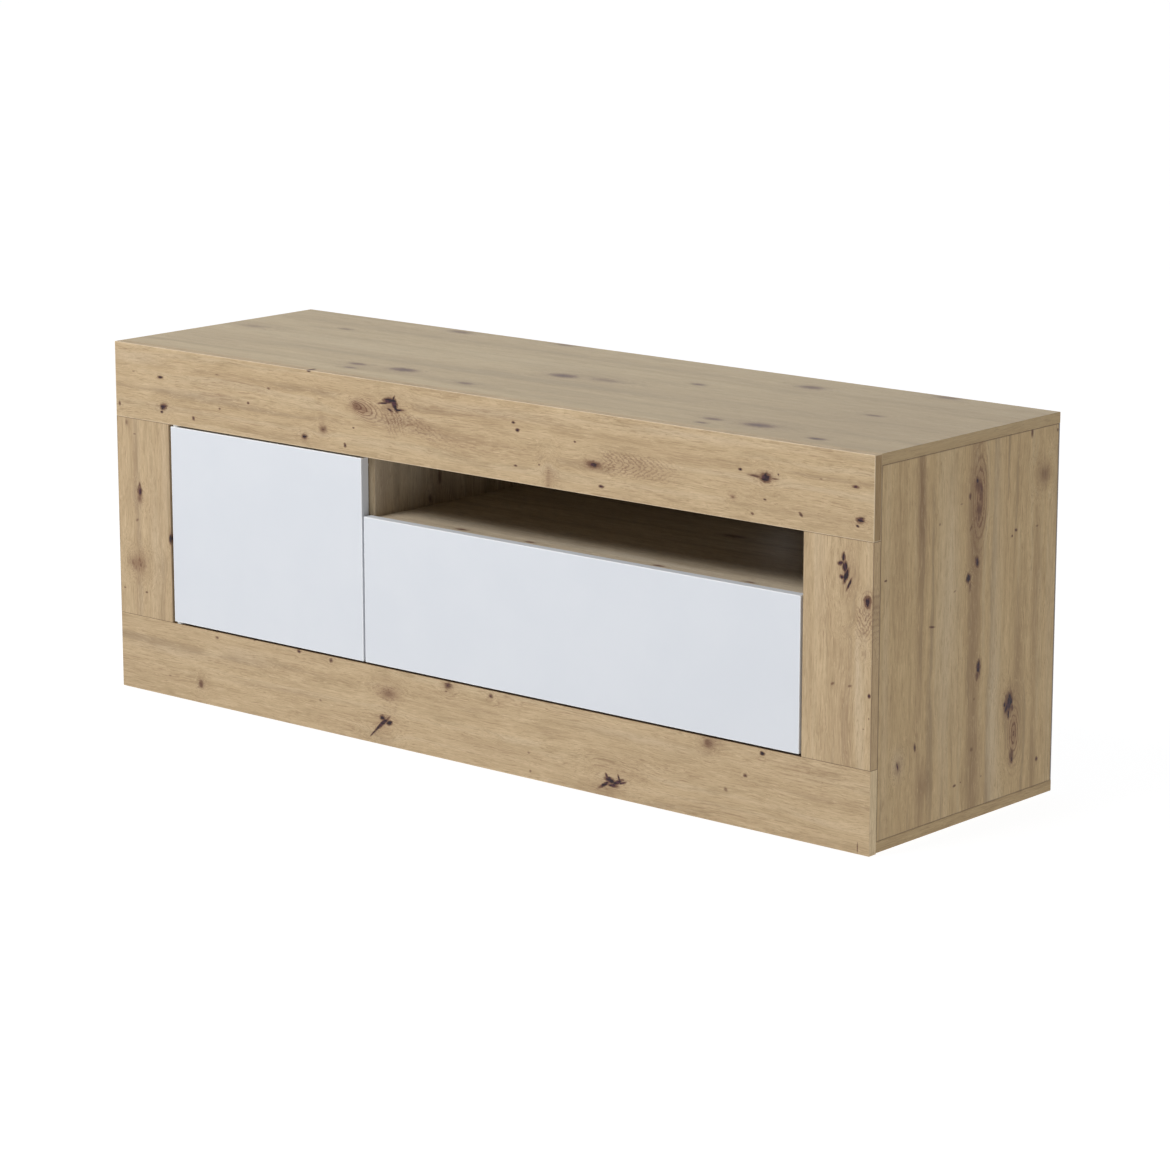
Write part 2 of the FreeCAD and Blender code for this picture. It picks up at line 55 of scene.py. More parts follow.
# -------------------------------------------------------------- node helper
class Tree:
    def __init__(self, tree):
        self.t = tree

    def new(self, kind, **props):
        n = self.t.nodes.new(kind)
        for k, v in props.items():
            setattr(n, k, v)
        return n

    def put(self, socket, value):
        if isinstance(value, bpy.types.NodeSocket):
            self.t.links.new(value, socket)
        elif value is not None:
            if hasattr(socket.default_value, "__len__") and not hasattr(value, "__len__"):
                value = [value] * len(socket.default_value)
            if hasattr(value, "__len__") and len(value) == 3 and len(socket.default_value) == 4:
                value = (*value, 1.0)
            socket.default_value = value

    def math(self, op, a, b=None, c=None, clamp=False):
        n = self.new("ShaderNodeMath", operation=op, use_clamp=clamp)
        for s, v in zip(n.inputs, (a, b, c)):
            self.put(s, v)
        return n.outputs[0]

    def vec(self, op, a, b=None, scale=None):
        n = self.new("ShaderNodeVectorMath", operation=op)
        self.put(n.inputs[0], a)
        if b is not None:
            self.put(n.inputs[1], b)
        if scale is not None:
            self.put(n.inputs["Scale"], scale)
        return n.outputs["Value"] if op in ("LENGTH", "DOT_PRODUCT", "DISTANCE") else n.outputs[0]

    def split(self, v):
        n = self.new("ShaderNodeSeparateXYZ")
        self.put(n.inputs[0], v)
        return n.outputs

    def join(self, x, y, z):
        n = self.new("ShaderNodeCombineXYZ")
        for s, v in zip(n.inputs, (x, y, z)):
            self.put(s, v)
        return n.outputs[0]

    def noise(self, v, detail=2.0, rough=0.5, scale=1.0, lac=2.0, distortion=0.0):
        n = self.new("ShaderNodeTexNoise", noise_dimensions="3D")
        self.put(n.inputs["Vector"], v)
        n.inputs["Scale"].default_value = scale
        n.inputs["Detail"].default_value = detail
        n.inputs["Roughness"].default_value = rough
        n.inputs["Lacunarity"].default_value = lac
        n.inputs["Distortion"].default_value = distortion
        return n.outputs["Fac"]

    def ramp(self, f, lo, hi, a=0.0, b=1.0, kind="SMOOTHSTEP"):
        n = self.new("ShaderNodeMapRange", interpolation_type=kind, clamp=True)
        for s, v in zip(n.inputs, (f, lo, hi, a, b)):
            self.put(s, v)
        return n.outputs[0]

    def mix(self, f, a, b, blend="MIX"):
        n = self.new("ShaderNodeMix", data_type="RGBA", blend_type=blend)
        self.put(n.inputs["Factor"], f)
        ins = [s for s in n.inputs if s.type == "RGBA"]
        self.put(ins[0], a)
        self.put(ins[1], b)
        return [s for s in n.outputs if s.type == "RGBA"][0]

    def mixf(self, f, a, b):
        n = self.new("ShaderNodeMix", data_type="FLOAT")
        self.put(n.inputs[0], f)
        ins = [s for s in n.inputs if s.type == "VALUE"]
        self.put(ins[1], a)
        self.put(ins[2], b)
        return n.outputs[0]

    def mixv(self, f, a, b):
        n = self.new("ShaderNodeMix", data_type="VECTOR")
        self.put(n.inputs[0], f)
        ins = [s for s in n.inputs if s.type == "VECTOR"]
        self.put(ins[-2], a)
        self.put(ins[-1], b)
        return [s for s in n.outputs if s.type == "VECTOR"][0]


def material(name):
    m = bpy.data.materials.new(name)
    m.use_nodes = True
    m.node_tree.nodes.clear()
    t = Tree(m.node_tree)
    out = t.new("ShaderNodeOutputMaterial")
    bsdf = t.new("ShaderNodeBsdfPrincipled")
    m.node_tree.links.new(bsdf.outputs[0], out.inputs[0])
    return m, t, bsdf


def bump(t, bsdf, height, strength, distance):
    b = t.new("ShaderNodeBump")
    b.inputs["Strength"].default_value = strength
    b.inputs["Distance"].default_value = distance
    t.put(b.inputs["Height"], height)
    t.put(bsdf.inputs["Normal"], b.outputs[0])


# --------------------------------------------------------------- knot group
def knot_group():
    """One knot in a board, lengths in mm. V carries (along the grain, across it,
    sideways push on the grain) from knot to knot, M carries (depth, halo, rings)."""
    g = bpy.data.node_groups.new("knot", "ShaderNodeTree")
    face = g.interface
    for name, kind in (("V", "NodeSocketVector"), ("M", "NodeSocketVector"), ("N", "NodeSocketFloat"),
                       ("C", "NodeSocketVector"), ("S", "NodeSocketVector"),
                       ("A", "NodeSocketFloat"), ("E", "NodeSocketFloat"), ("Dark", "NodeSocketFloat"),
                       ("Ring", "NodeSocketFloat"), ("F", "NodeSocketFloat")):
        face.new_socket(name=name, in_out="INPUT", socket_type=kind)
    for name in "VM":
        face.new_socket(name=name, in_out="OUTPUT", socket_type="NodeSocketVector")
    t = Tree(g)
    i = t.new("NodeGroupInput").outputs
    o = t.new("NodeGroupOutput").inputs
    d = t.vec("SUBTRACT", i["V"], i["C"])
    dy = t.split(d)[1]
    rot = t.new("ShaderNodeVectorRotate", rotation_type="Z_AXIS")
    t.put(rot.inputs["Vector"], d)
    t.put(rot.inputs["Angle"], i["A"])
    q = t.vec("DIVIDE", t.vec("MULTIPLY", rot.outputs[0], (1, 1, 0)), i["S"])
    qx = t.split(q)[0]
    # rings are ellipses with the knot at one focus: E draws them out to one side
    r = t.math("SUBTRACT", t.vec("LENGTH", q), t.math("MULTIPLY", qx, i["E"]))
    rn = t.math("ADD", r, t.math("MULTIPLY", i["N"], 1.9))
    depth = t.math("MULTIPLY", t.ramp(rn, 2.3, 0.35, 0.0, 1.0, "LINEAR"), i["Dark"])
    halo = t.math("MULTIPLY", t.math("EXPONENT", t.math("MULTIPLY", t.math("MULTIPLY", r, r), -0.16)), i["Ring"])
    lines = t.math("SINE", t.math("MULTIPLY_ADD", r, i["F"], t.math("MULTIPLY", i["N"], 4.0)))
    rings = t.math("MULTIPLY", t.ramp(lines, 0.05, 0.9), halo)
    t.put(o["M"], t.vec("MAXIMUM", i["M"], t.join(depth, halo, rings)))
    sy = t.split(i["S"])[1]
    side = t.math("TANH", t.math("DIVIDE", dy, t.math("MULTIPLY", sy, 1.1)))
    e = t.vec("LENGTH", t.vec("DIVIDE", t.vec("MULTIPLY", d, (1 / 3.0, 1 / 5.5, 0)), i["S"]))
    fall = t.math("EXPONENT", t.math("MULTIPLY", t.math("MULTIPLY", e, e), -1.0))
    w = t.math("MULTIPLY", t.math("MULTIPLY", side, fall), t.math("MULTIPLY", sy, -1.7))
    t.put(o["V"], t.vec("ADD", i["V"], t.join(0.0, 0.0, w)))
    return g


KNOT = knot_group()


def dot_group():
    """A small dark mark or split: an ellipse at an angle, with nothing round it."""
    g = bpy.data.node_groups.new("dot", "ShaderNodeTree")
    for name, kind in (("V", "NodeSocketVector"), ("M", "NodeSocketVector"), ("N", "NodeSocketFloat"),
                       ("C", "NodeSocketVector"), ("S", "NodeSocketVector"),
                       ("A", "NodeSocketFloat"), ("Dark", "NodeSocketFloat")):
        g.interface.new_socket(name=name, in_out="INPUT", socket_type=kind)
    g.interface.new_socket(name="M", in_out="OUTPUT", socket_type="NodeSocketVector")
    t = Tree(g)
    i = t.new("NodeGroupInput").outputs
    o = t.new("NodeGroupOutput").inputs
    rot = t.new("ShaderNodeVectorRotate", rotation_type="Z_AXIS")
    t.put(rot.inputs["Vector"], t.vec("SUBTRACT", i["V"], i["C"]))
    t.put(rot.inputs["Angle"], i["A"])
    q = t.vec("DIVIDE", t.vec("MULTIPLY", rot.outputs[0], (1, 1, 0)), i["S"])
    rn = t.math("ADD", t.vec("LENGTH", q), t.math("MULTIPLY", i["N"], 1.3))
    depth = t.math("MULTIPLY", t.ramp(rn, 2.0, 0.4, 0.0, 1.0, "LINEAR"), i["Dark"])
    t.put(o["M"], t.vec("MAXIMUM", i["M"], t.join(depth, 0.0, 0.0)))
    return g


def chevron_group():
    """Flame figure beside a knot: nested arrowheads that point away from C."""
    g = bpy.data.node_groups.new("chevrons", "ShaderNodeTree")
    for name, kind in (("V", "NodeSocketVector"), ("M", "NodeSocketVector"), ("N", "NodeSocketFloat"),
                       ("C", "NodeSocketVector"), ("S", "NodeSocketVector"), ("P", "NodeSocketVector"),
                       ("A", "NodeSocketFloat"), ("Ring", "NodeSocketFloat")):
        g.interface.new_socket(name=name, in_out="INPUT", socket_type=kind)
    g.interface.new_socket(name="M", in_out="OUTPUT", socket_type="NodeSocketVector")
    t = Tree(g)
    i = t.new("NodeGroupInput").outputs
    o = t.new("NodeGroupOutput").inputs
    rot = t.new("ShaderNodeVectorRotate", rotation_type="Z_AXIS")
    t.put(rot.inputs["Vector"], t.vec("SUBTRACT", i["V"], i["C"]))
    t.put(rot.inputs["Angle"], i["A"])
    flat = t.vec("MULTIPLY", rot.outputs[0], (1, 1, 0))
    u, v, _ = t.split(t.vec("DIVIDE", flat, i["S"]))
    pu, pv, _ = t.split(t.vec("DIVIDE", flat, i["P"]))
    env = t.math("MULTIPLY", t.math("MULTIPLY", t.ramp(u, -0.06, 0.10), t.ramp(u, 1.15, 0.35)),
                 t.ramp(t.math("ABSOLUTE", v), 1.15, 0.45))
    env = t.math("MULTIPLY", env, i["Ring"])
    ph = t.math("ADD", t.math("ADD", pu, t.math("ABSOLUTE", pv)), t.math("MULTIPLY", i["N"], 1.7))
    lines = t.ramp(t.math("SINE", t.math("MULTIPLY", ph, 2 * math.pi)), -0.1, 0.9)
    t.put(o["M"], t.vec("MAXIMUM", i["M"], t.join(0.0, t.math("MULTIPLY", env, 0.55), t.math("MULTIPLY", lines, env))))
    return g


def streak_group():
    """A soft stain along the grain, added to T's third number: above 0 brown, below 0 pale."""
    g = bpy.data.node_groups.new("streak", "ShaderNodeTree")
    for name, kind in (("T", "NodeSocketVector"), ("C", "NodeSocketVector"), ("S", "NodeSocketVector"),
                       ("K", "NodeSocketFloat")):
        g.interface.new_socket(name=name, in_out="INPUT", socket_type=kind)
    g.interface.new_socket(name="T", in_out="OUTPUT", socket_type="NodeSocketVector")
    t = Tree(g)
    i = t.new("NodeGroupInput").outputs
    o = t.new("NodeGroupOutput").inputs
    flat = t.vec("MULTIPLY", t.vec("SUBTRACT", i["T"], i["C"]), (1, 1, 0))
    e = t.vec("LENGTH", t.vec("DIVIDE", flat, i["S"]))
    f = t.math("EXPONENT", t.math("MULTIPLY", t.math("MULTIPLY", e, e), -1.0))
    t.put(o["T"], t.vec("ADD", i["T"], t.join(0.0, 0.0, t.math("MULTIPLY", f, i["K"]))))
    return g


DOT, CHEVRON, STREAK = dot_group(), chevron_group(), streak_group()


def edge_line(t, axis, node, width):
    """1 on the arrises of a board's box, 0 on its faces."""
    lo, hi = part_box(node)
    d = []
    for k, c in enumerate("XYZ"):
        mid, half = (lo[k] + hi[k]) * 500.0, (hi[k] - lo[k]) * 500.0
        d.append(t.math("SUBTRACT", half, t.math("ABSOLUTE", t.math("SUBTRACT", axis[c], mid))))
    a, b, c = d
    med = t.math("MAXIMUM", t.math("MINIMUM", a, b), t.math("MINIMUM", t.math("MAXIMUM", a, b), c))
    return t.ramp(med, width, 0.1)


def oak(name, main, end, knots=(), seed=0.0, shade=(1, 1, 1), figure=0.5, bands=(26.0, 1.0),
        end_tone=(0.74, 0.70, 0.62), arris_highlight=None, joint=None, rough=0.47, streaks=(), dots=(), flames=(), soft=1.0, faces=()):
    """Knotty oak. main: axes as (along the grain, across, thickness); end: the
    same for the two faces that the grain runs into, where an edge band goes on.
    A knot is (along, across, half length, half width, angle, dark, ring[, drawn out, rings]).
    A dot is (along, across, half length, half width, angle, dark).
    A streak is (along, across, half length, half width, brown).
    Flames are (along, across, angle, length, half width, pitch along, pitch across, ring).
    faces tones the faces that look one way: (axis, +1 or -1, tone); some boards use it for an edge band's tone, others
    for painted shade or painted light on one face."""
    m, t, bsdf = material(name)
    tex = t.new("ShaderNodeTexCoord")
    mm = t.vec("SCALE", tex.outputs["Object"], scale=1000.0)
    x, y, z = t.split(mm)
    axis = {"X": x, "Y": y, "Z": z}
    nx, ny, nz = t.split(tex.outputs["Normal"])
    ends = t.math("GREATER_THAN", t.math("ABSOLUTE", {"X": nx, "Y": ny, "Z": nz}[main[0]]), 0.7)
    p = t.mixv(ends, t.join(*[axis[c] for c in main]), t.join(*[axis[c] for c in end]))
    ps = t.vec("ADD", p, (seed * 371.0, seed * 83.0, seed * 57.0))
    # outline of the knots: blots, and splits along the grain
    kn = t.noise(t.vec("MULTIPLY", ps, (1 / 8, 1 / 6, 1 / 6)), 3.0, 0.65)
    split = t.noise(t.vec("MULTIPLY", ps, (1 / 11, 1 / 2.0, 1 / 2.0)), 1.0, 0.5)
    kn = t.math("ADD", t.math("SUBTRACT", kn, 0.5), t.math("MULTIPLY", t.math("SUBTRACT", split, 0.5), 0.7))
    v, marks = t.vec("MULTIPLY", p, (1, 1, 0)), (0.0, 0.0, 0.0)
    for knot in knots:
        g0, a0, sg, sa, ang, dark, ring = knot[:7]
        k = t.new("ShaderNodeGroup")
        k.node_tree = KNOT
        for key, val in (("V", v), ("M", marks), ("N", kn), ("C", (g0, a0, 0)), ("S", (sg, sa, 1)),
                         ("A", math.radians(ang)), ("E", knot[7] if len(knot) > 7 else 0.0),
                         ("Dark", dark), ("Ring", ring), ("F", knot[8] if len(knot) > 8 else 0.0)):
            t.put(k.inputs[key], val)
        v, marks = k.outputs["V"], k.outputs["M"]
    for g0, a0, ang, length, width, pu, pv, ring in flames:
        k = t.new("ShaderNodeGroup")
        k.node_tree = CHEVRON
        for key, val in (("V", v), ("M", marks), ("N", kn), ("C", (g0, a0, 0)), ("S", (length, width, 1)),
                         ("P", (pu, pv, 1)), ("A", math.radians(ang)), ("Ring", ring)):
            t.put(k.inputs[key], val)
        marks = k.outputs["M"]
    for g0, a0, sg, sa, ang, dark in dots:
        k = t.new("ShaderNodeGroup")
        k.node_tree = DOT
        for key, val in (("V", v), ("M", marks), ("N", kn), ("C", (g0, a0, 0)), ("S", (sg, sa, 1)),
                         ("A", math.radians(ang)), ("Dark", dark)):
            t.put(k.inputs[key], val)
        marks = k.outputs["M"]
    depth, halo, ring = t.split(marks) if knots else (0.0, 0.0, 0.0)
    # slow wander of the grain, and the grain flowing round the knots
    wob = t.noise(t.vec("MULTIPLY", ps, (1 / 300, 1 / 55, 1 / 55)), 2.0, 0.55)
    wob2 = t.noise(t.vec("MULTIPLY", ps, (1 / 45, 1 / 12, 1 / 12)), 2.0, 0.55)
    off = t.math("ADD", t.math("MULTIPLY", t.math("SUBTRACT", wob, 0.5), 30.0),
                 t.math("MULTIPLY", t.math("SUBTRACT", wob2, 0.5), 6.0))
    off = t.math("ADD", off, t.split(v)[2])
    pw = t.vec("ADD", ps, t.join(0.0, off, off))
    stain = t.vec("ADD", t.vec("MULTIPLY", p, (1, 1, 0)), t.join(0.0, t.math("MULTIPLY", off, 0.5), 0.0))
    for g0, a0, sg, sa, brown in streaks:
        k = t.new("ShaderNodeGroup")
        k.node_tree = STREAK
        for key, val in (("T", stain), ("C", (g0, a0, 0)), ("S", (sg, sa, 1)), ("K", brown)):
            t.put(k.inputs[key], val)
        stain = k.outputs["T"]
    stain = t.split(stain)[2]
    # staves of the glued panel, blotches, growth lines, fibres, pores
    bw, bs = bands
    band = t.noise(t.vec("MULTIPLY", pw, (1 / 1100, 1 / bw, 1 / bw)), 2.0, 0.55)
    band2 = t.noise(t.vec("MULTIPLY", pw, (1 / 260, 1 / 7.5, 1 / 7.5)), 3.0, 0.6)
    blot = t.noise(t.vec("MULTIPLY", ps, (1 / 85, 1 / 17, 1 / 17)), 3.0, 0.6)
    fibre = t.noise(t.vec("MULTIPLY", pw, (1 / 42, 1 / 1.5, 1 / 1.5)), 3.0, 0.65)
    fine = t.noise(t.vec("MULTIPLY", pw, (1 / 14, 1 / 0.6, 1 / 0.6)), 2.0, 0.6)
    stroke = t.ramp(fibre, 0.40, 0.62)
    ph = t.noise(t.vec("MULTIPLY", pw, (1 / 420, 1 / 26, 1 / 26)), 1.0, 0.5)
    _, pa, pb = t.split(pw)
    phase = t.math("ADD", t.math("MULTIPLY", t.math("ADD", pa, t.math("MULTIPLY", pb, 0.6)), 0.19),
                   t.math("MULTIPLY", ph, 5.2))
    saw = t.math("FRACT", phase)
    line = t.math("MULTIPLY", t.ramp(saw, 0.30, 0.93), t.ramp(saw, 1.0, 0.95))
    patch = t.ramp(t.noise(t.vec("MULTIPLY", ps, (1 / 230, 1 / 40, 1 / 40)), 2.0, 0.55), 0.47, 0.68)
    if knots:
        patch = t.math("MAXIMUM", patch, t.math("MULTIPLY", halo, 0.9))
    line = t.math("MULTIPLY", t.math("MULTIPLY", line, t.math("MULTIPLY", patch, figure)),
                  t.math("MULTIPLY_ADD", stroke, 0.75, 0.25))
    # colour
    def c(r, g, b):
        return (r * shade[0], g * shade[1], b * shade[2])
    col = t.mix(t.ramp(band, 0.5 - 0.17, 0.5 + 0.17), c(0.575, 0.425, 0.252), c(0.500, 0.358, 0.205))
    col = t.mix(t.math("MULTIPLY", t.ramp(band, 0.56, 0.72), 0.70 * bs), col, c(0.365, 0.262, 0.158))
    col = t.mix(t.math("MULTIPLY", t.ramp(band, 0.44, 0.30), 0.45 * bs), col, c(0.555, 0.435, 0.285))
    col = t.mix(t.math("MULTIPLY", t.ramp(band2, 0.50, 0.72), 0.50 * soft), col, c(0.400, 0.285, 0.155))
    col = t.mix(t.math("MULTIPLY", t.ramp(blot, 0.52, 0.74), 0.50 * soft), col, c(0.385, 0.275, 0.150))
    col = t.mix(t.math("MULTIPLY", t.ramp(blot, 0.46, 0.26), 0.55 * soft), col, c(0.660, 0.500, 0.305))
    if streaks:
        col = t.mix(t.ramp(stain, 0.0, 1.0, 0.0, 0.9, "LINEAR"), col, c(0.250, 0.148, 0.078))
        col = t.mix(t.ramp(stain, 0.0, -1.0, 0.0, 0.9, "LINEAR"), col, c(0.640, 0.530, 0.400))
    col = t.mix(t.math("MULTIPLY", t.ramp(fibre, 0.50, 0.70), 0.62 * soft), col, c(0.320, 0.212, 0.110))
    col = t.mix(t.math("MULTIPLY", t.ramp(fibre, 0.47, 0.28), 0.55 * soft), col, c(0.710, 0.550, 0.345))
    col = t.mix(t.math("MULTIPLY", t.ramp(fine, 0.50, 0.72), 0.42 * soft), col, c(0.285, 0.182, 0.095))
    col = t.mix(t.math("MULTIPLY", line, 0.80), col, c(0.270, 0.150, 0.085))
    if knots:
        h2 = t.math("MULTIPLY", halo, halo)
        col = t.mix(t.math("MULTIPLY", h2, 0.66), col, c(0.300, 0.165, 0.090))
        scratch = t.ramp(t.noise(t.vec("MULTIPLY", ps, (1 / 12, 1 / 5, 1 / 5)), 2.0, 0.6), 0.26, 0.50)
        col = t.mix(t.math("MULTIPLY", t.math("MULTIPLY", ring, 1.0, clamp=True), scratch), col, c(0.150, 0.062, 0.034))
        col = t.mix(t.math("MULTIPLY", t.ramp(depth, 0.10, 0.55), 0.88), col, c(0.140, 0.062, 0.034))
        inner = t.mix(t.ramp(kn, -0.12, 0.10), (0.014, 0.006, 0.010), (0.070, 0.020, 0.030))
        col = t.mix(t.ramp(depth, 0.54, 0.78), col, inner)
    if end_tone != 1.0:
        col = t.mixv(ends, col, t.vec("MULTIPLY", col, end_tone))
    # face tones: an edge band's tone on some boards, painted shade and painted light on others
    for letter, sign, tone in faces:
        way = t.math("MULTIPLY", {"X": nx, "Y": ny, "Z": nz}[letter], sign)
        col = t.mixv(t.math("GREATER_THAN", way, 0.7), col, t.vec("MULTIPLY", col, tone))
    if joint:
        node, width, strength = joint
        ln = edge_line(t, axis, node, width)
        col = t.mix(t.math("MULTIPLY", ln, strength), col, (0.085, 0.048, 0.026))
    # painted highlight: a lighter strip along the board's arrises stands in for light caught on the rounded edge
    if arris_highlight:
        node, strength = arris_highlight
        ln = edge_line(t, axis, node, 1.7)
        col = t.mix(t.math("MULTIPLY", ln, strength), col, c(0.95, 0.80, 0.58))
    t.put(bsdf.inputs["Base Color"], col)
    t.put(bsdf.inputs["Roughness"], t.math("ADD", rough, t.math("MULTIPLY", fibre, 0.12)))
    bsdf.inputs["Specular IOR Level"].default_value = 0.36
    h = t.noise(t.vec("MULTIPLY", ps, (1 / 30, 1 / 0.9, 1 / 0.9)), 3.0, 0.65)
    bump(t, bsdf, h, 0.25, 0.0004)
    return m


# -------------------------------------------------------- other materials
def white_front(node):
    m, t, bsdf = material("white_" + node)
    tex = t.new("ShaderNodeTexCoord")
    mm = t.vec("SCALE", tex.outputs["Object"], scale=1000.0)
    x, y, z = t.split(mm)
    cloud = t.noise(t.vec("MULTIPLY", mm, (1 / 90, 1 / 90, 1 / 90)), 3.0, 0.5)
    grit = t.noise(t.vec("MULTIPLY", mm, (1 / 0.9, 1 / 0.9, 1 / 0.9)), 2.0, 0.6)
    col = t.mix(t.ramp(cloud, 0.3, 0.7), (0.718, 0.744, 0.790), (0.735, 0.759, 0.802))
    col = t.mix(t.math("MULTIPLY", t.ramp(grit, 0.45, 0.75), 0.10), col, (0.67, 0.695, 0.74))
    # painted highlight: a near-white line along every arris of the front stands in for light caught on the rounded
    # edges
    ln = edge_line(t, {"X": x, "Y": y, "Z": z}, node, 2.2)
    col = t.mix(t.math("MULTIPLY", ln, 0.9), col, (0.95, 0.96, 0.975))
    t.put(bsdf.inputs["Base Color"], col)
    t.put(bsdf.inputs["Roughness"], t.math("ADD", 0.38, t.math("MULTIPLY", grit, 0.12)))
    bsdf.inputs["Specular IOR Level"].default_value = 0.45
    bump(t, bsdf, grit, 0.10, 0.0002)
    return m


def back_board():
    m, t, bsdf = material("back_board")
    tex = t.new("ShaderNodeTexCoord")
    mm = t.vec("SCALE", tex.outputs["Object"], scale=1000.0)
    fib = t.noise(t.vec("MULTIPLY", mm, (1 / 6, 1 / 6, 1 / 6)), 4.0, 0.65)
    big = t.noise(t.vec("MULTIPLY", mm, (1 / 160, 1 / 160, 1 / 160)), 2.0, 0.5)
    col = t.mix(t.ramp(fib, 0.35, 0.7), (0.250, 0.222, 0.205), (0.31, 0.275, 0.250))
    col = t.mix(t.math("MULTIPLY", t.ramp(big, 0.4, 0.7), 0.3), col, (0.20, 0.170, 0.150))
    t.put(bsdf.inputs["Base Color"], col)
    t.put(bsdf.inputs["Roughness"], t.math("ADD", 0.62, t.math("MULTIPLY", fib, 0.2)))
    bump(t, bsdf, fib, 0.25, 0.0004)
    return m


def metal(name, colour, rough, brushed=(1 / 0.4, 1 / 30, 1 / 0.4), strength=0.12):
    m, t, bsdf = material(name)
    tex = t.new("ShaderNodeTexCoord")
    mm = t.vec("SCALE", tex.outputs["Object"], scale=1000.0)
    lines = t.noise(t.vec("MULTIPLY", mm, brushed), 3.0, 0.6)
    spots = t.noise(t.vec("MULTIPLY", mm, (1 / 8, 1 / 8, 1 / 8)), 3.0, 0.6)
    dark = tuple(0.80 * c for c in colour)
    col = t.mix(t.ramp(lines, 0.3, 0.7), dark, colour)
    t.put(bsdf.inputs["Base Color"], t.mix(t.math("MULTIPLY", t.ramp(spots, 0.55, 0.75), 0.25), col, dark))
    bsdf.inputs["Metallic"].default_value = 1.0
    r = t.math("ADD", rough, t.math("MULTIPLY", t.math("SUBTRACT", lines, 0.5), 0.25))
    t.put(bsdf.inputs["Roughness"], r)
    bump(t, bsdf, lines, strength, 0.0002)
    return m


def plastic(name, colour, rough, grain=0.5):
    m, t, bsdf = material(name)
    tex = t.new("ShaderNodeTexCoord")
    mm = t.vec("SCALE", tex.outputs["Object"], scale=1000.0)
    n = t.noise(t.vec("SCALE", mm, scale=1 / grain), 2.0, 0.6)
    big = t.noise(t.vec("SCALE", mm, scale=1 / 14), 2.0, 0.5)
    col = t.mix(t.ramp(big, 0.3, 0.7), colour, tuple(0.93 * c for c in colour))
    t.put(bsdf.inputs["Base Color"], col)
    t.put(bsdf.inputs["Roughness"], t.math("ADD", rough, t.math("MULTIPLY", n, 0.12)))
    bump(t, bsdf, n, 0.15, 0.0002)
    return m


def beech():
    m, t, bsdf = material("beech_dowel")
    tex = t.new("ShaderNodeTexCoord")
    mm = t.vec("SCALE", tex.outputs["Object"], scale=1000.0)
    n = t.noise(t.vec("MULTIPLY", mm, (1 / 1.2, 1 / 1.2, 1 / 8)), 3.0, 0.6)
    col = t.mix(t.ramp(n, 0.35, 0.7), (0.68, 0.49, 0.32), (0.55, 0.37, 0.23))
    t.put(bsdf.inputs["Base Color"], col)
    t.put(bsdf.inputs["Roughness"], t.math("ADD", 0.6, t.math("MULTIPLY", n, 0.15)))
    bump(t, bsdf, n, 0.2, 0.0003)
    return m


def give(mat, *names):
    for n in names:
        o = NODES[n]
        o.data.materials.clear()
        o.data.materials.append(mat)


K_RAIL_TOP = [
    (-222, 522, 9, 5.0, 12, 0.40, 1.0, 0.60, 13), (-148, 529, 12, 7, -12, 0.30, 0.55), (-290, 477, 6, 4, 0, 0.50, 0.6),
    (-330, 461, 4.2, 3.2, 0, 0.80, 0.6), (-641, 472, 5.5, 3.2, -14, 0.95, 0.5), (-647, 518, 4.4, 1.8, -4, 0.80, 0.4),
    (249, 490, 9, 3.6, 0, 0.74, 0.8, 0.1), (563, 511, 7, 4.6, -4, 1.0, 0.7), (727, 473, 4.8, 3, -10, 0.92, 0.5),
    (718, 518, 4.2, 1.6, 0, 0.92, 0.4), (505, 476, 3.4, 2.4, 0, 0.34, 0.7), (164, 460, 5, 9, 0, 0.16, 0.6)]
D_RAIL_TOP = [
    (-152, 537, 9, 3.6, -6, 1.0), (-163, 532, 10, 1.2, -8, 0.95), (-141, 530, 8, 2.4, 52, 1.0), (-141, 534, 6, 4.6, 60, 0.95), (-131, 525, 9, 1.3, -4, 0.95),
    (-149, 523, 5, 1.6, 20, 0.85), (-143, 540, 5, 1.6, -60, 0.8), (-645, 463, 2.6, 1.6, 0, 0.85), (-742, 466, 2.4, 3, 0, 0.62),
    (-573, 461, 2.4, 3, -30, 0.72), (-514, 483, 2.2, 1.3, 0, 0.62), (-451, 499, 2.4, 1.6, 0, 0.74), (-406, 527, 3, 1.6, 0, 0.48),
    (-519, 536, 5, 1.2, 0, 0.42), (-708, 521, 3.4, 1.1, 0, 0.46), (-244, 458, 2.4, 3, -30, 0.72), (-226, 487, 2, 1, 0, 0.66),
    (-319, 564, 3.4, 1.4, 0, 0.85), (97, 533, 2.8, 1.6, 0, 0.75), (105, 523, 3.2, 2, 0, 0.85), (215, 519, 2, 1.3, 0, 0.72),
    (101, 470, 2.8, 1.2, 0, 0.70), (147, 477, 1.8, 1.4, 0, 0.5), (265, 460, 4, 2, 0, 0.85), (248, 490, 3.6, 2.2, 0, 1.0),
    (545, 511, 10, 1.6, 2, 0.66), (578, 511, 6, 1.2, 0, 0.55), (518, 517, 2.6, 1.5, 0, 0.85), (585, 518, 1.2, 1.2, 0, 0.7),
    (562, 480, 2.2, 1.2, 0, 0.66), (540, 457, 2.6, 1.6, 20, 0.6), (625, 467, 3.4, 1.8, 40, 0.66), (722, 464, 2.2, 1.6, 20, 0.85),
    (659, 521, 2.6, 1, 0, 0.42), (-290, 477, 2.4, 1.6, 0, 0.7)]
